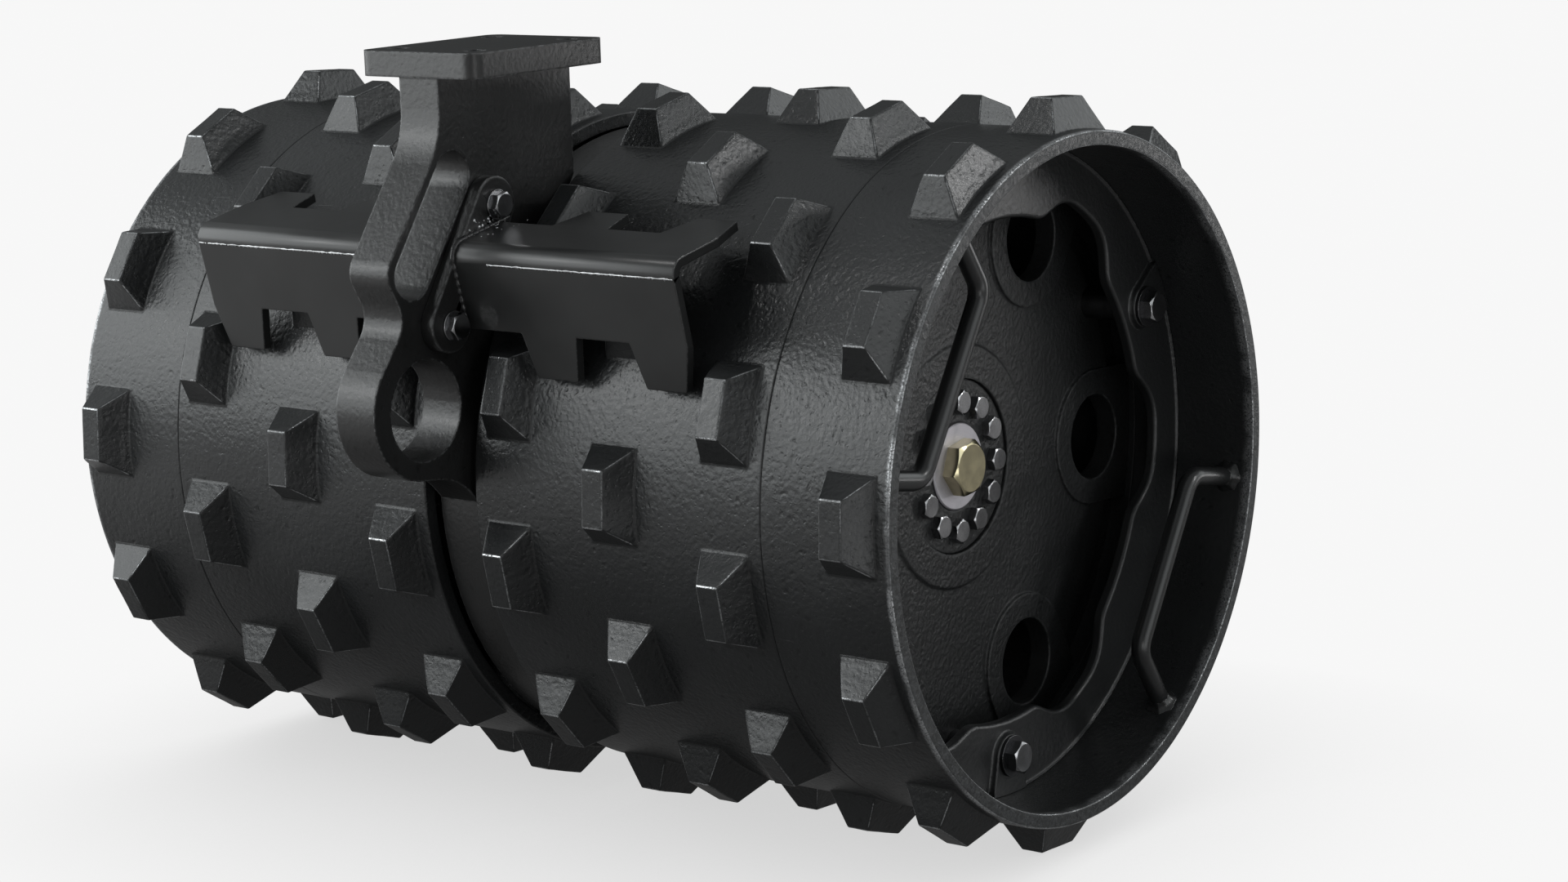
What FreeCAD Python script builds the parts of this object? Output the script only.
import FreeCAD, Part
import Sketcher
import os, math
from FreeCAD import Vector, Placement, Rotation

# Twin padfoot drum with its centre carrier, for a trench compactor.
# X runs along the drum axis, -Y is the front (towing eye side), +Z is up.
# The origin of the finished parts is the middle of the mounting face on top of the arm.
# All sizes below are drawn from the drum axis, midway between the two drum halves;
# new_body() makes the shift. "Right" in a name means the +X side, "left" the -X side.

os.makedirs("parts", exist_ok=True)
doc = FreeCAD.newDocument("padfoot_drum")

# ---------------------------------------------------------------- dimensions
DIMS = [
    ("shell_radius", 275.0), ("shell_wall", 12.0), ("gap_half", 27.0),
    ("main_half_end", 309.0), ("ring_end", 425.0),
    ("pad_tip_radius", 300.0), ("pad_base_axial", 42.6), ("pad_base_tangent", 74.0),
    ("pad_top_axial", 19.5), ("pad_top_tangent", 45.0), ("pad_count", 12),
    ("row_inner", 61.0), ("row_middle", 167.5), ("row_outer", 274.0), ("row_extension", 390.5),
    ("disc_radius", 263.0), ("disc_rim_half", 23.0), ("plate_half", 20.0),
    ("web_back", 284.0), ("web_face", 300.0), ("web_groove", 292.0), ("web_raise", 303.0),
    ("hub_boss_radius", 98.0), ("hub_boss_face", 302.5), ("hub_recess_radius", 71.5),
    ("hub_seat", 288.0), ("lip_back", 268.0), ("lip_bore", 40.5),
    ("window_radius", 36.5), ("window_ring", 205.0), ("window_boss", 57.5), ("window_count", 6),
    ("hub_bolt_ring", 52.5), ("hub_bolt_count", 12),
    ("flange_inner", 203.0), ("flange_scallop", 228.0), ("flange_back", 340.0),
    ("flange_face", 350.0), ("flange_seat", 355.0), ("tie_ring", 231.0), ("tie_count", 3),
    ("handle_plane", 401.0), ("handle_bar", 8.0), ("handle_reach", 200.0), ("handle_spread", 23.0),
    ("axle_centre", 36.0), ("axle_journal", 32.5), ("axle_end", 28.0), ("axle_half", 297.5),
    ("journal_start", 113.0), ("journal_stop", 136.0),
    ("gear_module", 4.0), ("gear_teeth", 50), ("pinion_teeth", 16), ("gear_half", 12.0),
    ("pinion_centre", 132.15), ("exciter_centre", 179.5),
    ("barrel_outer", 74.0), ("barrel_bore", 50.0), ("barrel_seat", 60.0), ("barrel_end", 150.0),
    ("barrel_flange", 92.0), ("eye_bore", 40.0), ("eye_lobe", 56.0), ("slot_half", 19.75),
    ("bracket_plate", 12.0), ("bracket_lobe", 22.5),
    ("blade_end", 250.0), ("blade_sheet", 8.0), ("blade_bend", 13.0),
    ("head_low", 330.0), ("head_top", 350.0), ("head_half_x", 60.0), ("head_hole", 8.75),
    ("head_pitch_x", 80.0), ("head_pitch_y", 110.0), ("head_centre_y", -210.0),
]


class Size:
    """A number together with the sheet expression it stays bound to."""
    def __init__(self, value, text):
        self.value = float(value)
        self.text = text

    def __add__(self, other):
        other = as_size(other)
        return Size(self.value + other.value, "(%s + %s)" % (self.text, other.text))

    def __sub__(self, other):
        other = as_size(other)
        return Size(self.value - other.value, "(%s - %s)" % (self.text, other.text))

    def __rsub__(self, other):
        return as_size(other) - self

    def __mul__(self, other):
        other = as_size(other)
        return Size(self.value * other.value, "(%s * %s)" % (self.text, other.text))

    def __truediv__(self, other):
        other = as_size(other)
        return Size(self.value / other.value, "(%s / %s)" % (self.text, other.text))

    def __neg__(self):
        return Size(-self.value, "(-1 * %s)" % self.text)


def as_size(item):
    return item if isinstance(item, Size) else Size(item, "%.6f" % float(item))


def number(item):
    return item.value if isinstance(item, Size) else float(item)


class Names:
    """Holds the driving dimensions as attributes."""


dim = Names()      # dim.gap_half is a Size, bound to the sheet
val = Names()      # val.gap_half is the plain number
sheet = doc.addObject("Spreadsheet::Sheet", "Dims")
for row, (name, value) in enumerate(DIMS, 1):
    cell = "A%d" % row
    sheet.set(cell, repr(value))
    sheet.setAlias(cell, name)
    setattr(dim, name, Size(value, "Dims.%s" % name))
    setattr(val, name, float(value))
doc.recompute()

PARTS = []         # every object that is written out
serial = [0]


def bind(item, prop, value):
    """Set a property, and tie it to the sheet when the value is a Size."""
    if isinstance(value, Size):
        setattr(item, prop, int(round(value.value)) if prop == "Occurrences" else value.value)
        item.setExpression(prop, value.text)
    else:
        setattr(item, prop, value)


def tag(stem):
    serial[0] += 1
    return "%s_%03d" % (stem, serial[0])


# ---------------------------------------------------------------- bodies and sketches
def new_body(label, keep=True, turn=0.0, z=0.0):
    """A body drawn about the drum axis, turned about X and raised by z, then shifted so that
    the origin falls on the middle of the mounting face."""
    base_y = -dim.head_centre_y
    base_z = as_size(z) - dim.head_top
    body = doc.addObject("PartDesign::Body", label)
    body.Label = label
    body.AllowCompound = True
    body.Placement = Placement(Vector(0, base_y.value, base_z.value),
                               Rotation(Vector(1, 0, 0), turn))
    body.setExpression("Placement.Base.y", base_y.text)
    body.setExpression("Placement.Base.z", base_z.text)
    if keep:
        PARTS.append(body)
    return body


def origin_item(body, role):
    return [item for item in body.Origin.OriginFeatures if item.Role == role][0]


def new_sketch(body, role, offset=0.0, stem="Sketch"):
    sketch = body.newObject("Sketcher::SketchObject", tag(stem))
    sketch.AttachmentSupport = [(origin_item(body, role), "")]
    sketch.MapMode = "FlatFace"
    sketch.AttachmentOffset = Placement(Vector(0, 0, number(offset)), Rotation())
    if isinstance(offset, Size):
        sketch.setExpression("AttachmentOffset.Base.z", offset.text)
    return sketch


def pin_point(sketch, geo, pos, x, y):
    """Dimension a point from the sketch origin; distances are kept positive."""
    for kind, value, axis in (("DistanceX", x, -2), ("DistanceY", y, -1)):
        if abs(number(value)) < 1e-9:
            sketch.addConstraint(Sketcher.Constraint("PointOnObject", geo, pos, axis))
            continue
        ends = (-1, 1, geo, pos)
        if number(value) < 0:
            ends = (geo, pos, -1, 1)
            value = -value
        index = sketch.addConstraint(Sketcher.Constraint(kind, *ends, number(value)))
        if isinstance(value, Size):
            sketch.setExpression("Constraints[%d]" % index, value.text)


def line_loop(sketch, points):
    """Closed loop of lines; returns the index of the first one."""
    base = sketch.GeometryCount
    count = len(points)
    ends = [Vector(number(x), number(y), 0) for x, y in points]
    sketch.addGeometry([Part.LineSegment(ends[i], ends[(i + 1) % count])
                        for i in range(count)], False)
    sketch.addConstraint([Sketcher.Constraint("Coincident", base + i, 2, base + (i + 1) % count, 1)
                          for i in range(count)])
    return base


def block(sketch, base):
    """Fix all geometry from index base on."""
    sketch.addConstraint([Sketcher.Constraint("Block", i)
                          for i in range(base, sketch.GeometryCount)])


def pinned_loop(sketch, points):
    base = line_loop(sketch, points)
    for i, (x, y) in enumerate(points):
        pin_point(sketch, base + i, 1, x, y)


def circle(sketch, x, y, radius):
    geo = sketch.addGeometry(
        Part.Circle(Vector(number(x), number(y), 0), Vector(0, 0, 1), number(radius)), False)
    index = sketch.addConstraint(Sketcher.Constraint("Radius", geo, number(radius)))
    if isinstance(radius, Size):
        sketch.setExpression("Constraints[%d]" % index, radius.text)
    if abs(number(x)) < 1e-9 and abs(number(y)) < 1e-9:
        sketch.addConstraint(Sketcher.Constraint("Coincident", geo, 3, -1, 1))
    else:
        pin_point(sketch, geo, 3, x, y)


def circles(body, x, rounds, stem):
    """Sketch square to the drum axis at x, with circles given as (y, z, radius)."""
    sketch = new_sketch(body, "YZ_Plane", x, stem)
    for centre_y, centre_z, radius in rounds:
        circle(sketch, centre_y, centre_z, radius)
    return sketch


def chain(sketch, segments, closed=True):
    """Lines and arcs in order, joined and fixed."""
    base = sketch.GeometryCount
    sketch.addGeometry(segments, False)
    count = len(segments)
    for i in range(count if closed else count - 1):
        one, two = base + i, base + (i + 1) % count
        # arcs made from three points may run clockwise: join whichever ends meet
        _, end_one, end_two = min(
            ((sketch.getPoint(one, a) - sketch.getPoint(two, b)).Length, a, b)
            for a in (1, 2) for b in (1, 2))
        sketch.addConstraint(Sketcher.Constraint("Coincident", one, end_one, two, end_two))
    block(sketch, base)


def outline(body, role, offset, stem, segments):
    sketch = new_sketch(body, role, offset, stem)
    chain(sketch, segments)
    return sketch


# ---------------------------------------------------------------- outlines
def ray(radius, degrees, y=0.0, z=0.0):
    """Point (y, z) at a radius and angle about a centre; 0 is +Y and 90 is +Z."""
    angle = math.radians(degrees)
    return (y + radius * math.cos(angle), z + radius * math.sin(angle))


def ray_corners(rows):
    """Corners for rounded(), from rows of (radius, angle, corner radius)."""
    return [ray(radius, degrees) + (corner,) for radius, degrees, corner in rows]


def on_circle(radius, count, start=0.0, z=0.0):
    return [ray(radius, start + i * 360.0 / count, z=z) for i in range(count)]


def rectangle(half_x, half_y):
    return [(-half_x, -half_y), (half_x, -half_y), (half_x, half_y), (-half_x, half_y)]


def rounded(corners, closed=True):
    """Lines and arcs through corners given as (x, y, corner radius)."""
    count = len(corners)
    points = [Vector(x, y, 0) for x, y, radius in corners]
    starts, ends, middles = [], [], []
    for i, (x, y, radius) in enumerate(corners):
        if radius <= 0 or (not closed and i in (0, count - 1)):
            starts.append(points[i])
            ends.append(points[i])
            middles.append(None)
            continue
        back = (points[i - 1] - points[i]).normalize()
        ahead = (points[(i + 1) % count] - points[i]).normalize()
        half = back.getAngle(ahead) / 2.0
        reach = radius / math.tan(half)
        bisector = (back + ahead).normalize()
        centre = points[i] + bisector * (radius / math.sin(half))
        starts.append(points[i] + back * reach)
        ends.append(points[i] + ahead * reach)
        middles.append(centre - bisector * radius)
    segments = []
    for i in range(count):
        if middles[i] is not None:
            segments.append(Part.Arc(starts[i], middles[i], ends[i]))
        following = (i + 1) % count
        if following == 0 and not closed:
            break
        if (starts[following] - ends[i]).Length > 1e-6:
            segments.append(Part.LineSegment(ends[i], starts[following]))
    return segments


def stadium(low, high, radius):
    """Slot shape round the line from low to high."""
    along = (high - low).normalize()
    side = Vector(-along.y, along.x, 0) * radius
    along = along * radius
    return [Part.LineSegment(low + side, high + side),
            Part.Arc(high + side, high + along, high - side),
            Part.LineSegment(high - side, low - side),
            Part.Arc(low - side, low - along, low + side)]


def rim_tongue(centre, nose, half_width, rim, degrees=0.0):
    """Round nose at radius centre, with sides running out to an arc of radius rim."""
    cosine, sine = math.cos(math.radians(degrees)), math.sin(math.radians(degrees))

    def point(x, y):
        return Vector(x * cosine - y * sine, x * sine + y * cosine, 0)

    rim_x = math.sqrt(rim * rim - half_width * half_width)
    nose_start, nose_end = point(centre, nose), point(centre, -nose)
    rim_start, rim_end = point(rim_x, -half_width), point(rim_x, half_width)
    return [Part.Arc(nose_start, point(centre - nose, 0), nose_end),
            Part.LineSegment(nose_end, rim_start),
            Part.Arc(rim_start, point(rim, 0), rim_end),
            Part.LineSegment(rim_end, nose_start)]


# ---------------------------------------------------------------- features
def volume(body):
    doc.recompute()
    return 0.0 if body.Shape.isNull() else body.Shape.Volume


def feature(body, kind, stem, sign, **settings):
    """Add a feature; stop if it does not add (sign 1) or remove (sign -1) material."""
    before = volume(body)
    item = body.newObject("PartDesign::" + kind, tag(stem))
    for prop, value in settings.items():
        bind(item, prop, value)
    body.Tip = item
    after = volume(body)
    if sign * (after - before) < 1.0:
        raise RuntimeError("%s: %s changed nothing (%.1f to %.1f)"
                           % (body.Label, item.Name, before, after))
    return item


def pad(body, sketch, length, **options):
    return feature(body, "Pad", "Pad", 1, Profile=sketch, Length=length, **options)


def pocket(body, sketch, length, **options):
    return feature(body, "Pocket", "Pocket", -1, Profile=sketch, Length=length, **options)


def drill(body, x_from, depth, holes, **options):
    """Round holes cut from the plane x = x_from towards -X, or +X when Reversed."""
    return pocket(body, circles(body, x_from, holes, "Drill"), depth, **options)


def polar(body, features, count, sign=1):
    return feature(body, "PolarPattern", "Polar", sign, Originals=features,
                   Axis=(origin_item(body, "X_Axis"), [""]), Angle=360.0, Occurrences=count)


def revolved(label, points, **place):
    """New body: an (x, radius) outline turned about the body's X axis."""
    body = new_body(label, **place)
    sketch = new_sketch(body, "XY_Plane")
    pinned_loop(sketch, points)
    feature(body, "Revolution", "Turn", 1, Profile=sketch,
            ReferenceAxis=(sketch, ["H_Axis"]), Angle=360.0)
    return body


def hex_bolt(body, y, z, under, across, head, shank, reach, hex_turn=0.0):
    """Hex head standing on the plane x = under, shank of that radius going back towards -X."""
    corner = across / math.sqrt(3.0)
    crown_radius = across * 0.47
    outside = corner + 1.0
    rise = (outside - crown_radius) * math.tan(math.radians(28))
    top = number(under) + head
    sketch = new_sketch(body, "YZ_Plane", under, "Hex")
    block(sketch, line_loop(sketch, [ray(corner, hex_turn + 60 * i, y, z) for i in range(6)]))
    prism = pad(body, sketch, head)
    # a cone takes the corners off the top of the head
    sketch = new_sketch(body, "XY_Plane", z, "HexEdge")
    base = line_loop(sketch, [(top + 0.01, y + crown_radius), (top + 0.01, y + outside),
                              (top - rise, y + outside)])
    sketch.addGeometry(Part.LineSegment(Vector(top - 20, y, 0), Vector(top + 20, y, 0)), True)
    block(sketch, base)
    crown = feature(body, "Groove", "Crown", -1, Profile=sketch,
                    ReferenceAxis=(sketch, ["Axis0"]), Angle=360.0)
    stem = pad(body, circles(body, under, [(y, z, shank)], "Shank"), reach, Reversed=True)
    return [prism, crown, stem]


def bolts(label, places, under, keep=True, **sizes):
    body = new_body(label, keep)
    for y, z in places:
        hex_bolt(body, y, z, under, **sizes)
    return body


def mirrored(source, label, keep=True):
    mirror = doc.addObject("Part::Mirroring", label)
    mirror.Source = source
    mirror.Normal = Vector(1, 0, 0)
    mirror.Base = Vector(0, 0, 0)
    mirror.Label = label
    if keep:
        PARTS.append(mirror)


def mirror_left(body):
    mirrored(body, body.Label.replace("right_", "left_"))


def both_sides(source, label):
    """One part made of the source and its mirror image."""
    mirrored(source, label + "_other_side", keep=False)
    pair = doc.addObject("Part::Compound", label)
    pair.Links = [source, doc.getObject(label + "_other_side")]
    pair.Label = label
    PARTS.append(pair)


def bolt_ring(label, radius, count, under, turn=0.0, **sizes):
    """Ring of bolts on the right side, and its mirror image."""
    body = new_body(label, turn=turn)
    polar(body, hex_bolt(body, radius, 0.0, under, **sizes), count)
    mirror_left(body)


# ---------------------------------------------------------------- shared places
REST_ANGLE = -3.0       # the drum is drawn with its pattern at zero and turned to this angle
TIE_ANGLE = 30.0        # first tie bolt, from the drum's zero
TIE_POINT = ray(val.tie_ring, TIE_ANGLE)
TIE_HOLE = 8.5          # radius in the flange, washers and sleeves
WASHER = 3.0            # thickness of the tie bolt washers
DISC_SEAT, DISC_FACE = 298.0, 302.0     # x of the axle disc
KEY_HALF_LENGTH, KEY_HALF_WIDTH, KEY_FLOOR = 11.0, 5.0, 32.0
COVER_PLATE = 12.0      # plate of the gear case cover, and the drive motor flange
EXCITER_FLANGE = 9.0
EXCITER_MOTOR_SEAT = 124.0
BEARING_BOLT_RING = 80.0
EXCITER_MOTOR_RING = 40.0

# bolt places as (y, z)
BRACKET_BOLTS = [(-297.0, 139.5), (-240.0, 227.5)]
COVER_BOLTS = ([ray(115.0, angle) for angle in (-150, -115, -65, -30, 12, 168)]
               + [ray(50.0, angle, z=val.pinion_centre) for angle in (25, 90, 155)])
MOTOR_BOLTS = on_circle(49.0, 4, 45.0, val.pinion_centre)
EXCITER_BOLTS = on_circle(51.0, 6, 0.0, -val.exciter_centre)

shell_inner = dim.shell_radius - dim.shell_wall
plate = dim.plate_half
barrel_end = dim.barrel_end


# ---------------------------------------------------------------- drum shells
def pad_row(body, x, angle):
    """Ring of padfeet: wedges whose sides are carried on below the shell surface."""
    depth = 9.0
    slope = depth / (val.pad_tip_radius - val.shell_radius)
    axial = (dim.pad_base_axial - dim.pad_top_axial) * (slope / 2.0) + dim.pad_base_axial / 2.0
    tangent = ((dim.pad_base_tangent - dim.pad_top_tangent) * (slope / 2.0)
               + dim.pad_base_tangent / 2.0)
    top_axial = dim.pad_top_axial / 2.0
    top_tangent = dim.pad_top_tangent / 2.0
    wedge = feature(body, "AdditiveWedge", "PadFoot", 1,
                    Ymin=dim.shell_radius - depth, Ymax=dim.pad_tip_radius,
                    Xmin=x - axial, Xmax=x + axial, Zmin=-tangent, Zmax=tangent,
                    X2min=x - top_axial, X2max=x + top_axial,
                    Z2min=-top_tangent, Z2max=top_tangent,
                    Placement=Placement(Vector(0, 0, 0), Rotation(Vector(1, 0, 0), angle)))
    polar(body, [wedge], dim.pad_count)


def drum_shells():
    start, end, radius = dim.gap_half, dim.main_half_end, dim.shell_radius
    body = revolved("right_drum_shell", [
        (start, shell_inner), (start, radius - 1.5), (start + 1.5, radius),
        (end - 1.2, radius), (end, radius - 1.2), (end, shell_inner)], turn=REST_ANGLE)
    pad_row(body, dim.row_inner, 15.0)
    pad_row(body, dim.row_middle, 0.0)
    pad_row(body, dim.row_outer, 15.0)
    mirror_left(body)


def extension_rings():
    start, end, radius = dim.main_half_end, dim.ring_end, dim.shell_radius
    body = revolved("right_extension_ring", [
        (start, shell_inner), (start, radius - 1.2), (start + 1.2, radius), (end - 2.0, radius),
        (end, radius - 2.0), (end, shell_inner + 1.5), (end - 1.5, shell_inner)], turn=REST_ANGLE)
    pad_row(body, dim.row_extension, 0.0)
    mirror_left(body)


# ---------------------------------------------------------------- drum webs
def drum_webs():
    boss = dim.hub_boss_radius
    body = revolved("right_drum_web", [
        (dim.lip_back, dim.lip_bore), (dim.lip_back, boss), (dim.web_back, boss + 16.0),
        (dim.web_back, shell_inner), (dim.web_groove, shell_inner), (dim.web_groove, 241.0),
        (dim.web_face, 236.0), (dim.web_face, boss + 3.0), (dim.hub_boss_face, boss),
        (dim.hub_boss_face, dim.hub_recess_radius), (dim.hub_seat, dim.hub_recess_radius),
        (dim.hub_seat, dim.lip_bore)], turn=REST_ANGLE)
    # raised borders round the windows, then the windows
    sketch = outline(body, "YZ_Plane", dim.web_groove, "WindowBoss",
                     rim_tongue(val.window_ring, val.window_boss, val.window_boss,
                                val.shell_radius - val.shell_wall))
    border = pad(body, sketch, dim.web_raise - dim.web_groove)
    polar(body, [border], dim.window_count)
    window = drill(body, dim.web_raise + 1.0, 25.0, [(dim.window_ring, 0.0, dim.window_radius)])
    polar(body, [window], dim.window_count, -1)
    hub_hole = drill(body, dim.hub_seat, 30.0, [(dim.hub_bolt_ring, 0.0, 6.05)])
    polar(body, [hub_hole], dim.hub_bolt_count, -1)
    tie_hole = drill(body, dim.web_face, 20.0, [TIE_POINT + (8.05,)])
    polar(body, [tie_hole], dim.tie_count, -1)
    mirror_left(body)


# ---------------------------------------------------------------- drive hubs and axle ends
def drive_hubs():
    body = revolved("right_drive_hub", [
        (250.0, 28.05), (250.0, 38.5), (251.5, 40.0), (dim.hub_seat, 40.0), (dim.hub_seat, 71.0),
        (dim.web_face - 1.0, 71.0), (dim.web_face, 70.0), (dim.web_face, 36.0),
        (DISC_SEAT, 36.0), (DISC_SEAT, 28.05)], turn=REST_ANGLE)
    hole = drill(body, dim.web_face, 20.0, [(dim.hub_bolt_ring, 0.0, 6.5)])
    polar(body, [hole], dim.hub_bolt_count, -1)
    mirror_left(body)
    bolt_ring("right_hub_bolts", val.hub_bolt_ring, dim.hub_bolt_count, dim.web_face,
              turn=REST_ANGLE, across=18.0, head=7.5, shank=6.0, reach=28.0)


def axle_discs():
    body = revolved("right_axle_disc", [
        (DISC_SEAT, 13.6), (DISC_SEAT, 35.4), (DISC_FACE - 1.0, 35.4), (DISC_FACE, 34.4),
        (DISC_FACE, 13.6)], turn=REST_ANGLE)
    mirror_left(body)
    body = new_body("right_axle_bolt", turn=REST_ANGLE)
    hex_bolt(body, 0.0, 0.0, DISC_FACE, across=41.0, head=13.0, shank=13.5, reach=55.0,
             hex_turn=12.0)
    mirror_left(body)


# ---------------------------------------------------------------- extension flanges
def extension_flanges():
    thickness = dim.flange_face - dim.flange_back
    body = new_body("right_extension_flange", turn=REST_ANGLE)
    pad(body, circles(body, dim.flange_back, [(0.0, 0.0, shell_inner)], "Flange"), thickness)
    opening = circles(body, dim.flange_face, [(0.0, 0.0, dim.flange_inner)], "Opening")
    pocket(body, opening, thickness)
    # scallop in the inner edge: radius, angle, corner radius
    inner, deep = val.flange_inner, val.flange_scallop
    sketch = outline(body, "YZ_Plane", dim.flange_face, "Scallop", rounded(ray_corners([
        (inner, -26.0, 0), (inner + 0.8, -16.6, 28.0), (deep + 0.6, -8.6, 42.0),
        (deep + 1.2, 0.0, 170.0),
        (deep + 0.6, 8.6, 42.0), (inner + 0.8, 16.6, 28.0), (inner, 26.0, 0)])))
    scallop = pocket(body, sketch, thickness)
    polar(body, [scallop], dim.window_count, -1)
    # raised seats for the tie bolts stop 0.3 short of the shell wall
    sketch = outline(body, "YZ_Plane", dim.flange_face, "TieSeat",
                     rim_tongue(val.tie_ring + 1.0, 19.0, 24.0, shell_inner.value - 0.3,
                                TIE_ANGLE))
    seat = pad(body, sketch, dim.flange_seat - dim.flange_face)
    polar(body, [seat], dim.tie_count)
    hole = drill(body, dim.flange_seat, 20.0, [TIE_POINT + (TIE_HOLE,)])
    polar(body, [hole], dim.tie_count, -1)
    mirror_left(body)
    bolt_ring("right_extension_bolts", val.tie_ring, dim.tie_count, val.flange_seat + WASHER,
              turn=REST_ANGLE + TIE_ANGLE, across=24.0, head=10.0, shank=8.0, reach=72.0,
              hex_turn=8.0)


def tie_rings(name, label, stem, x, outer, length):
    """A hollow round on each tie bolt, both sides in one part."""
    body = new_body(name, keep=False, turn=REST_ANGLE + TIE_ANGLE)
    sketch = circles(body, x, [(dim.tie_ring, 0.0, outer), (dim.tie_ring, 0.0, TIE_HOLE)], stem)
    polar(body, [pad(body, sketch, length)], dim.tie_count)
    both_sides(body, label)


def tie_washers_and_sleeves():
    tie_rings("right_tie_washers", "extension_washers", "Washer", dim.flange_seat, 17.0, WASHER)
    tie_rings("right_tie_sleeves", "extension_sleeves", "Sleeve", dim.web_face, 14.0,
              dim.flange_back - dim.web_face)


# ---------------------------------------------------------------- handles
def handles():
    """Two U-shaped handles of round bar, with both feet at the shell's inner wall."""
    spread, reach = val.handle_spread, val.handle_reach
    foot = math.sqrt(shell_inner.value ** 2 - val.handle_bar ** 2) - 0.02
    body = new_body("right_handles", turn=REST_ANGLE - 30.0)
    path = new_sketch(body, "YZ_Plane", dim.handle_plane, "HandlePath")
    corners = ray_corners([(foot, spread, 0), (reach, spread, 18.0),
                           (reach, -spread, 18.0), (foot, -spread, 0)])
    chain(path, rounded(corners, closed=False), closed=False)
    doc.recompute()
    profile = body.newObject("Sketcher::SketchObject", tag("HandleRound"))
    profile.AttachmentSupport = [(path, "Edge1")]
    profile.MapMode = "NormalToEdge"
    circle(profile, 0.0, 0.0, dim.handle_bar)
    edges = ["Edge%d" % (i + 1) for i in range(path.GeometryCount)]
    bar = feature(body, "AdditivePipe", "HandleBar", 1, Profile=profile, Spine=(path, edges))
    polar(body, [bar], 2)
    mirror_left(body)


# ---------------------------------------------------------------- axle, key, gears
def main_axle():
    half, end, journal, centre = dim.axle_half, dim.axle_end, dim.axle_journal, dim.axle_centre
    start = dim.journal_start
    body = revolved("main_axle", [
        (-half, 0.0), (-half, 26.5), (1.5 - half, end), (-160.0, end), (-160.0, journal),
        (-start, journal), (-start, centre), (start, centre), (start, journal), (160.0, journal),
        (160.0, end), (half - 1.5, end), (half, 26.5), (half, 0.0)])
    drill(body, half, 52.0, [(0.0, 0.0, 13.55)])
    drill(body, -half, 52.0, [(0.0, 0.0, 13.55)], Reversed=True)
    sketch = new_sketch(body, "XY_Plane", KEY_FLOOR + 8.0, "Keyway")
    pinned_loop(sketch, rectangle(KEY_HALF_LENGTH, KEY_HALF_WIDTH))
    pocket(body, sketch, 8.0)


def gear_key():
    body = new_body("gear_key")
    sketch = new_sketch(body, "XY_Plane", KEY_FLOOR, "Key")
    pinned_loop(sketch, rectangle(KEY_HALF_LENGTH, KEY_HALF_WIDTH))
    pad(body, sketch, 7.3)


def root_radius(teeth):
    return dim.gear_module * teeth / 2.0 - dim.gear_module * 1.25


def add_teeth(body, teeth, stem):
    """Involute teeth; the first is centred on +Y."""
    pressure = math.radians(20)
    relief = 0.08           # taken off each flank at the pitch circle
    flank_points = 8
    pitch = val.gear_module * teeth.value / 2.0
    base, tip, root = pitch * math.cos(pressure), pitch + val.gear_module, root_radius(teeth).value
    half_angle = math.pi / (2 * teeth.value) - relief / pitch

    def involute(angle):
        return math.tan(angle) - angle

    flank = []              # (radius, angle) from the root outwards
    start = max(base, root)
    for i in range(flank_points):
        radius = start + (tip - start) * i / (flank_points - 1)
        angle = math.acos(min(1.0, base / radius))
        flank.append((radius, half_angle + involute(pressure) - involute(angle)))
    # the foot reaches 0.8 into the blank
    flank.insert(0, (root - 0.8, flank[0][1] * 1.02))
    points = [(r * math.cos(a), -r * math.sin(a)) for r, a in flank]
    points += [(r * math.cos(a), r * math.sin(a)) for r, a in reversed(flank)]
    sketch = new_sketch(body, "YZ_Plane", -dim.gear_half, stem)
    block(sketch, line_loop(sketch, points))
    polar(body, [pad(body, sketch, dim.gear_half * 2.0)], teeth)


def axle_gear():
    face, bore, root = dim.gear_half, dim.axle_centre, root_radius(dim.gear_teeth)
    body = revolved("axle_gear", [
        (-face, bore), (-face, 56.0), (-face + 4.0, 58.0), (-face + 4.0, 82.0), (-face, 84.0),
        (-face, root), (face, root), (face, 84.0), (face - 4.0, 82.0), (face - 4.0, 58.0),
        (face, 56.0), (face, bore)])
    add_teeth(body, dim.gear_teeth, "Tooth")
    sketch = new_sketch(body, "XY_Plane", 39.4, "GearKeyway")
    pinned_loop(sketch, rectangle(30.0, KEY_HALF_WIDTH))
    pocket(body, sketch, 8.0)


def drive_pinion():
    face, root = dim.gear_half, root_radius(dim.pinion_teeth)
    body = revolved("drive_pinion", [
        (-43.5, 0.0), (-43.5, 12.5), (-face, 12.5), (-face, root), (face, root), (face, 14.0),
        (78.0, 14.0), (78.0, 0.0)], z=dim.pinion_centre)
    add_teeth(body, dim.pinion_teeth, "PinionTooth")


# ---------------------------------------------------------------- main bearings
def main_bearings():
    start, stop = dim.journal_start, dim.journal_stop
    for name, inner, outer in (("outer", 52.0, 60.0), ("inner", dim.axle_journal, 40.0)):
        body = revolved("right_bearing_%s_ring" % name, [
            (start, inner), (start, outer), (stop, outer), (stop, inner)])
        mirror_left(body)
    body = new_body("right_bearing_rollers")
    roller = pad(body, circles(body, start + 2.5, [(46.0, 0.0, 5.95)], "Roller"), 18.0)
    polar(body, [roller], 18)
    mirror_left(body)


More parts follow.
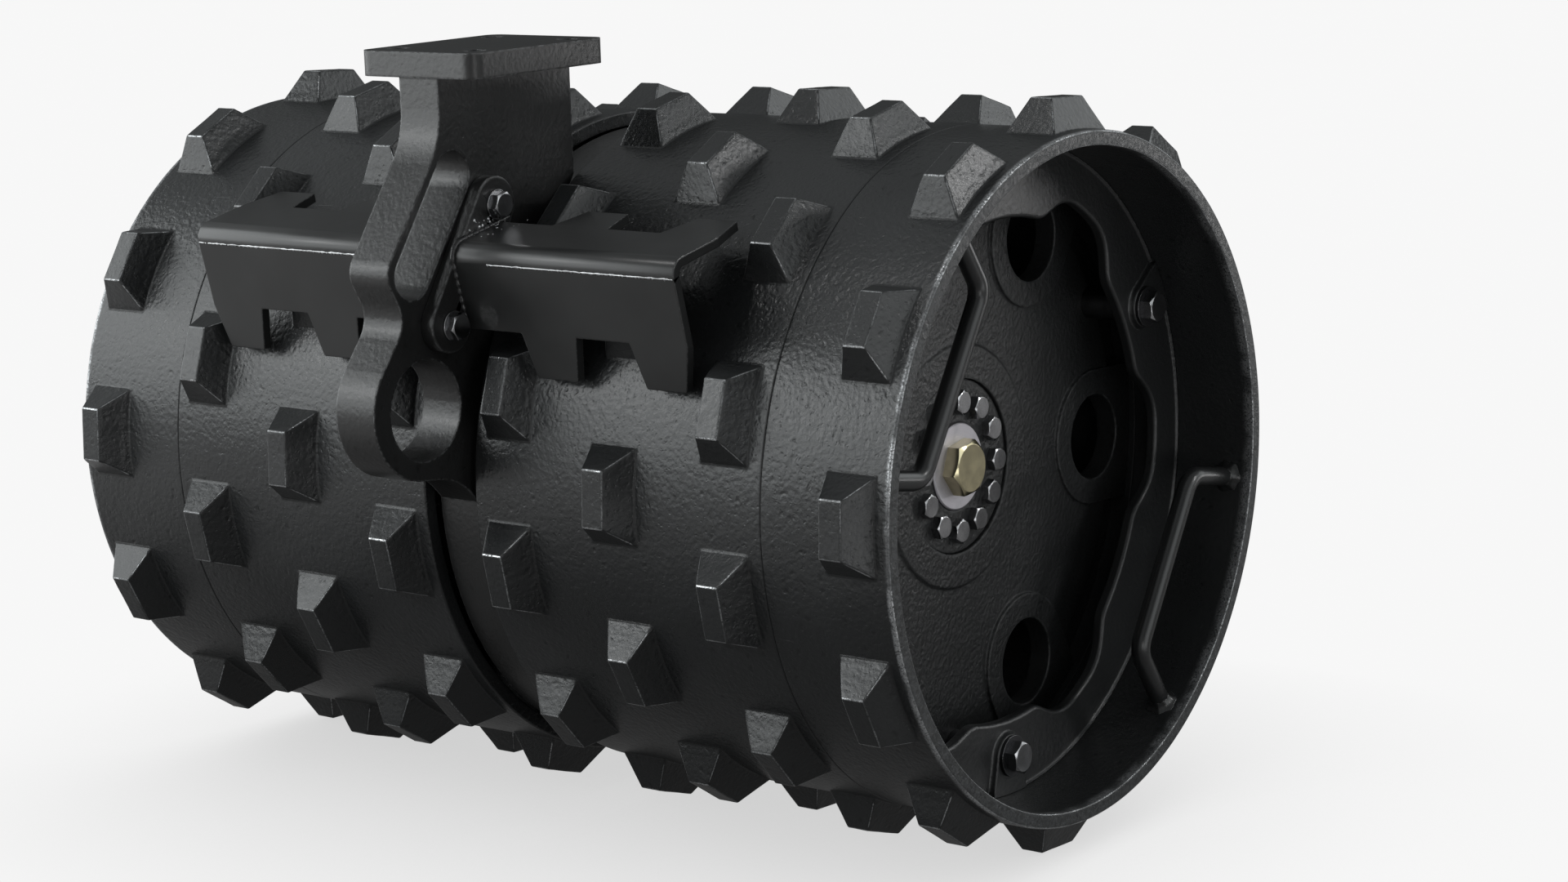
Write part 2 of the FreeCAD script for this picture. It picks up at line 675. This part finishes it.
def bearing_covers():
    stop, flange, face = dim.journal_stop, dim.barrel_flange, barrel_end + 10.0
    body = revolved("right_bearing_cover", [
        (stop, 50.0), (stop, 59.95), (barrel_end, 59.95), (barrel_end, flange), (face, flange),
        (face, 34.0), (barrel_end + 8.0, 34.0), (barrel_end + 8.0, 45.0),
        (barrel_end - 5.0, 45.0), (barrel_end - 5.0, 50.0)])
    hole = drill(body, face, 10.0, [(BEARING_BOLT_RING, 0.0, 4.5)])
    polar(body, [hole], 6, -1)
    mirror_left(body)
    bolt_ring("right_bearing_cover_bolts", BEARING_BOLT_RING, 6, face,
              across=13.0, head=5.3, shank=4.0, reach=20.0)
    body = revolved("right_shaft_seal", [
        (barrel_end - 4.0, 32.55), (barrel_end - 4.0, 44.95), (barrel_end + 7.9, 44.95),
        (barrel_end + 7.9, 40.0), (barrel_end, 36.0), (barrel_end, 32.55)])
    mirror_left(body)


# ---------------------------------------------------------------- carrier casting
def arm_outline():
    """Arm in (y, z): down the front from the head, round the eye, and back into the disc."""
    eye_y, eye_z, lobe = -321.5, 76.0, val.eye_lobe
    waist_y, waist_z = -336.0, 147.0
    back_y, top_z = val.head_centre_y + 80.0, val.head_low + 4.0
    # the front edge leaves the waist on a tangent to the eye lobe
    distance = math.hypot(waist_y - eye_y, waist_z - eye_z)
    angle = math.atan2(waist_z - eye_z, waist_y - eye_y) + math.acos(lobe / distance)
    upper_y, upper_z = ray(lobe, math.degrees(angle), eye_y, eye_z)
    lower_y, lower_z = ray(lobe, -94, eye_y, eye_z)
    front = rounded([(back_y, top_z, 0), (-287.0, top_z, 0), (-287.0, 283.0, 70.0),
                     (-357.5, 185.5, 19.0), (waist_y, waist_z, 24.0), (upper_y, upper_z, 0)],
                    closed=False)
    eye = Part.Arc(Vector(upper_y, upper_z, 0), Vector(eye_y - lobe, eye_z, 0),
                   Vector(lower_y, lower_z, 0))
    rear = rounded([(lower_y, lower_z, 0), (-285.0, 15.0, 60.0), (-250.0, -22.0, 0),
                    (-200.0, -22.0, 0), (-170.0, 175.0, 0), (back_y, 240.0, 0),
                    (back_y, top_z, 0)], closed=False)
    return front + [eye] + rear


def add_head(body):
    """Mounting head on top of the arm, with four holes."""
    half_x, half_y, corner = val.head_half_x, 80.0, 12
    corners = [(x, val.head_centre_y + y, corner) for x, y in rectangle(half_x, half_y)]
    sketch = outline(body, "XY_Plane", dim.head_low, "Head", rounded(corners))
    pad(body, sketch, dim.head_top - dim.head_low)
    sketch = new_sketch(body, "XY_Plane", dim.head_top, "HeadHoles")
    for side_x in (-0.5, 0.5):
        for side_y in (-0.5, 0.5):
            circle(sketch, dim.head_pitch_x * side_x,
                   dim.head_centre_y + dim.head_pitch_y * side_y, dim.head_hole)
    pocket(body, sketch, 25.0)


def drill_casting(body):
    pinion, exciter = dim.pinion_centre, dim.exciter_centre
    # pinion pocket, motor spigot hole, exciter opening
    drill(body, 14.0, plate + 14.0, [(0.0, pinion, 40.0)])
    drill(body, plate, 7.0, [(0.0, pinion, 30.0)])
    drill(body, plate + 5.0, plate * 2.0 + 10.0, [(0.0, -exciter, 40.0)])
    # tapped holes
    bracket = [(y, z, 6.05) for y, z in BRACKET_BOLTS]
    drill(body, plate, 19.0, bracket)
    drill(body, -plate, 19.0, bracket, Reversed=True)
    drill(body, -plate, 16.0, [(y, z, 4.05) for y, z in COVER_BOLTS], Reversed=True)
    drill(body, barrel_end, 11.0, [(y, z, 4.05) for y, z in on_circle(BEARING_BOLT_RING, 6)])
    drill(body, plate, 5.5, [(y, z, 5.05) for y, z in MOTOR_BOLTS])
    exciter_holes = [(y, z, 3.05) for y, z in EXCITER_BOLTS]
    drill(body, plate, 13.0, exciter_holes)
    drill(body, -plate, 13.0, exciter_holes, Reversed=True)


def carrier_casting():
    """Centre disc with the right barrel, the arm, the towing eye and the mounting head."""
    rim, radius = dim.disc_rim_half, dim.disc_radius
    body = revolved("carrier_casting", [
        (-rim, radius - 2.0), (2.0 - rim, radius), (rim - 2.0, radius), (rim, radius - 2.0),
        (rim, 241.0), (plate, 238.0), (plate, 76.0), (plate + 2.0, dim.barrel_outer),
        (138.0, dim.barrel_outer), (138.0, dim.barrel_flange), (barrel_end, dim.barrel_flange),
        (barrel_end, dim.barrel_seat), (dim.journal_start, dim.barrel_seat),
        (dim.journal_start, dim.barrel_bore), (14.0, dim.barrel_bore), (14.0, 108.0),
        (-plate, 108.0), (-plate, 238.0), (-rim, 241.0)])
    pad(body, outline(body, "YZ_Plane", 0.0, "ArmOutline", arm_outline()), plate * 2.0,
        Midplane=True)
    add_head(body)
    # eye bore and the slot above it
    through = plate * 2.0 + 6.0
    pocket(body, circles(body, 0.0, [(-319.0, 75.0, dim.eye_bore)], "Eye"), through, Midplane=True)
    slot = stadium(Vector(-326.7, 182.2, 0), Vector(-275.9, 253.4, 0), val.slot_half)
    pocket(body, outline(body, "YZ_Plane", 0.0, "Slot", slot), through, Midplane=True)
    drill_casting(body)


# ---------------------------------------------------------------- gear case cover
def gearcase_cover():
    """Cover on the -X side of the casting, in one with the left barrel."""
    outer = -plate - COVER_PLATE
    body = revolved("gearcase_cover", [
        (-plate, dim.barrel_bore), (-plate, 122.0), (outer, 122.0), (outer, 78.0),
        (outer - 4.0, dim.barrel_outer), (-138.0, dim.barrel_outer), (-138.0, dim.barrel_flange),
        (-barrel_end, dim.barrel_flange), (-barrel_end, dim.barrel_seat),
        (-dim.journal_start, dim.barrel_seat), (-dim.journal_start, dim.barrel_bore)])
    # ear over the pinion, with a round boss on it
    ear, foot_z, pinion_z = 60, 95, val.pinion_centre
    left_foot, right_foot = Vector(-ear, foot_z, 0), Vector(ear, foot_z, 0)
    left_top, right_top = Vector(-ear, pinion_z, 0), Vector(ear, pinion_z, 0)
    sketch = outline(body, "YZ_Plane", -plate, "CoverEar", [
        Part.LineSegment(left_foot, right_foot), Part.LineSegment(right_foot, right_top),
        Part.Arc(right_top, Vector(0, pinion_z + ear, 0), left_top),
        Part.LineSegment(left_top, left_foot)])
    pad(body, sketch, COVER_PLATE, Reversed=True)
    boss = circles(body, outer, [(0.0, dim.pinion_centre, 32.0)], "PinionBoss")
    pad(body, boss, 16.0, Reversed=True)
    # bearing seat, bolt holes, tapped holes in the barrel end
    drill(body, -plate, 24.0, [(0.0, dim.pinion_centre, 24.0)])
    drill(body, -plate, COVER_PLATE, [(y, z, 4.5) for y, z in COVER_BOLTS])
    drill(body, -barrel_end, 11.0, [(y, z, 4.05) for y, z in on_circle(BEARING_BOLT_RING, 6)],
          Reversed=True)


def gearcase_fittings():
    body = bolts("gearcase_cover_bolts_drawn", COVER_BOLTS, plate + COVER_PLATE, keep=False,
                 across=13.0, head=5.3, shank=4.0, reach=26.0)
    mirrored(body, "gearcase_cover_bolts")
    left, right = -plate - 23.9, -plate - 9.0
    revolved("pinion_bearing", [(left, 12.55), (left, 23.95), (right, 23.95), (right, 12.55)],
             z=dim.pinion_centre)


# ---------------------------------------------------------------- hydraulic drive motor
def drive_motor():
    face = plate + COVER_PLATE
    body = revolved("drive_motor", [
        (14.2, 14.05), (14.2, 29.95), (plate, 29.95), (plate, 56.0), (face, 56.0), (face, 38.0),
        (108.0, 38.0), (112.0, 34.0), (124.0, 34.0), (124.0, 0.0), (80.0, 0.0), (80.0, 14.05)],
        z=dim.pinion_centre)
    drill(body, face, COVER_PLATE, [(y, z, 5.5) for y, z in on_circle(49.0, 4, 45.0)])
    bolts("drive_motor_bolts", MOTOR_BOLTS, face, across=16.0, head=6.4, shank=5.0, reach=17.0)


# ---------------------------------------------------------------- exciter
def exciter_housings():
    face, centre = plate + EXCITER_FLANGE, -dim.exciter_centre
    holes = [(y, z, 3.3) for y, z in on_circle(51.0, 6)]
    body = revolved("right_exciter_housing", [
        (plate, 40.0), (plate, 57.0), (face, 57.0), (face, 45.0), (118.0, 45.0), (123.0, 40.0),
        (123.0, 0.0), (117.0, 0.0), (117.0, 36.0), (98.0, 36.0), (98.0, 40.0)], z=centre)
    drill(body, face, EXCITER_FLANGE, holes)
    end = -EXCITER_MOTOR_SEAT
    body = revolved("left_exciter_housing", [
        (-plate, 40.0), (-plate, 57.0), (-face, 57.0), (-face, 45.0), (end, 45.0), (end, 18.0),
        (-117.0, 18.0), (-117.0, 36.0), (-98.0, 36.0), (-98.0, 40.0)], z=centre)
    drill(body, -face, EXCITER_FLANGE, holes, Reversed=True)
    drill(body, end, 6.0, [(y, z, 3.05) for y, z in on_circle(EXCITER_MOTOR_RING, 4, 45.0)],
          Reversed=True)
    body = bolts("right_exciter_bolts", EXCITER_BOLTS, face, keep=False,
                 across=10.0, head=4.0, shank=3.0, reach=21.0)
    both_sides(body, "exciter_housing_bolts")


def exciter_shaft():
    """Bearings, shaft and the two weights, which hang below the shaft."""
    centre = -dim.exciter_centre
    body = revolved("right_exciter_bearing", [
        (98.0, 15.05), (98.0, 36.0), (117.0, 36.0), (117.0, 15.05)], keep=False, z=centre)
    both_sides(body, "exciter_bearings")
    revolved("exciter_shaft", [
        (-150.0, 0.0), (-150.0, 12.0), (-119.0, 12.0), (-119.0, 15.0), (-97.5, 15.0),
        (-97.5, 17.5), (97.5, 17.5), (97.5, 15.0), (116.5, 15.0), (116.5, 0.0)], z=centre)
    body = new_body("right_exciter_weight", keep=False, z=centre)
    radius, neck_y, neck_z = 38, 24, 8
    sketch = outline(body, "YZ_Plane", 30.0, "Weight", [
        Part.Arc(Vector(radius, 0, 0), Vector(0, -radius, 0), Vector(-radius, 0, 0)),
        Part.LineSegment(Vector(-radius, 0, 0), Vector(-neck_y, neck_z, 0)),
        Part.Arc(Vector(-neck_y, neck_z, 0), Vector(0, math.hypot(neck_y, neck_z), 0),
                 Vector(neck_y, neck_z, 0)),
        Part.LineSegment(Vector(neck_y, neck_z, 0), Vector(radius, 0, 0))])
    circle(sketch, 0.0, 0.0, 17.5)
    pad(body, sketch, 60.0)
    both_sides(body, "exciter_weights")


def exciter_motor():
    seat, face = EXCITER_MOTOR_SEAT, EXCITER_MOTOR_SEAT + 10.0
    body = revolved("exciter_motor", [
        (-seat, 12.05), (-seat, 48.0), (-face, 48.0), (-face, 30.0), (-196.0, 30.0),
        (-200.0, 26.0), (-200.0, 0.0), (-152.0, 0.0), (-152.0, 12.05)], z=-dim.exciter_centre)
    holes = [(y, z, 3.3) for y, z in on_circle(EXCITER_MOTOR_RING, 4, 45.0)]
    drill(body, -face, 10.0, holes, Reversed=True)
    places = on_circle(EXCITER_MOTOR_RING, 4, 45.0, -val.exciter_centre)
    body = bolts("exciter_motor_bolts_drawn", places, face, keep=False,
                 across=10.0, head=4.0, shank=3.0, reach=15.0)
    mirrored(body, "exciter_motor_bolts")


# ---------------------------------------------------------------- scrapers
bracket_face = plate + dim.bracket_plate


def scraper_brackets():
    (low_y, low_z), (high_y, high_z) = BRACKET_BOLTS
    body = new_body("right_scraper_bracket")
    sketch = outline(body, "YZ_Plane", plate, "BracketOutline",
                     stadium(Vector(low_y - 0.5, low_z + 1.0, 0), Vector(high_y, high_z, 0),
                             val.bracket_lobe))
    pad(body, sketch, dim.bracket_plate)
    drill(body, bracket_face, dim.bracket_plate, [(y, z, 6.5) for y, z in BRACKET_BOLTS])
    mirror_left(body)


def meet(point, along, other, other_along):
    """Where two lines, each given by a point and a direction, cross."""
    gap = other - point
    scale = ((gap.x * other_along.y - gap.y * other_along.x)
             / (along.x * other_along.y - along.y * other_along.x))
    return point + along * scale


def blade_section():
    """Bent sheet in (y, z): a steep leg in front of the drum, then one back over it."""
    sheet_wall, bend = val.blade_sheet, val.blade_bend
    tip, rear = Vector(-270.5, 99.0, 0), Vector(-202.0, 220.6, 0)
    low = Vector(-22.5, 92.0, 0).normalize()
    high = Vector(1.0, 0.2, 0).normalize()
    # sheet thickness, square to each leg and towards the drum
    low_wall = Vector(low.y, -low.x, 0) * sheet_wall
    high_wall = Vector(high.y, -high.x, 0) * sheet_wall
    corner = meet(tip, low, rear, high)
    inner = meet(tip + low_wall, low, rear + high_wall, high)
    rear_inner = rear + high_wall
    # the lower edge is cut level with the tip
    tip_inner = tip + low_wall
    tip_inner = tip_inner + low * ((tip.y - tip_inner.y) / low.y)
    return rounded([(tip.x, tip.y, 0), (corner.x, corner.y, bend), (rear.x, rear.y, 0),
                    (rear_inner.x, rear_inner.y, 0), (inner.x, inner.y, bend - sheet_wall),
                    (tip_inner.x, tip_inner.y, 0)])


def notches(sketch, mouth, shoulder, floor):
    """Three notches in line with the pad rows, from three levels across the sheet."""
    pinned_loop(sketch, [(28.0, mouth), (28.0, floor), (87.0, floor), (94.5, shoulder),
                         (94.5, mouth)])
    pinned_loop(sketch, [(134.5, mouth), (134.5, shoulder), (142.0, floor), (194.0, floor),
                         (203.0, shoulder), (203.0, mouth)])
    pinned_loop(sketch, [(241.0, mouth), (241.0, shoulder), (250.0, floor), (256.0, floor),
                         (256.0, mouth)])


def scraper_blades():
    body = new_body("right_scraper_blade")
    sketch = outline(body, "YZ_Plane", bracket_face, "BladeSection", blade_section())
    pad(body, sketch, dim.blade_end - bracket_face)
    # the XZ sketch faces -Y, so it lies at y = -200 and the cut runs forward
    sketch = new_sketch(body, "XZ_Plane", 200.0, "LowerComb")
    notches(sketch, 80.0, 99.0, 135.0)
    pocket(body, sketch, 140.0, Reversed=True)
    sketch = new_sketch(body, "XY_Plane", 260.0, "RearComb")
    notches(sketch, -190.0, -202.0, -237.0)
    pocket(body, sketch, 100.0)
    mirror_left(body)


def scraper_fittings():
    washer = 2.5
    body = bolts("right_scraper_bolts", BRACKET_BOLTS, bracket_face + washer, keep=False,
                 across=19.0, head=7.5, shank=6.0, reach=30.0, hex_turn=10.0)
    both_sides(body, "scraper_bolts")
    body = new_body("right_scraper_washers", keep=False)
    rounds = [(y, z, radius) for y, z in BRACKET_BOLTS for radius in (12.0, 6.5)]
    pad(body, circles(body, bracket_face, rounds, "Washers"), washer)
    both_sides(body, "scraper_washers")


# ---------------------------------------------------------------- build, check and write
for build in (drum_shells, extension_rings, drum_webs, drive_hubs, axle_discs,
              extension_flanges, tie_washers_and_sleeves, handles,
              main_axle, gear_key, axle_gear, drive_pinion, main_bearings, bearing_covers,
              carrier_casting, gearcase_cover, gearcase_fittings, drive_motor,
              exciter_housings, exciter_shaft, exciter_motor,
              scraper_brackets, scraper_blades, scraper_fittings):
    build()

doc.recompute()
for item in doc.Objects:
    if "Invalid" in item.State or "Error" in item.State:
        raise RuntimeError("%s failed: %s" % (item.Label, item.State))
for item in PARTS:
    if item.Shape.isNull() or not item.Shape.isValid() or not item.Shape.Solids:
        raise RuntimeError("%s has no valid solid" % item.Label)
for item in PARTS:
    item.Shape.exportStep("parts/%s.step" % item.Label)
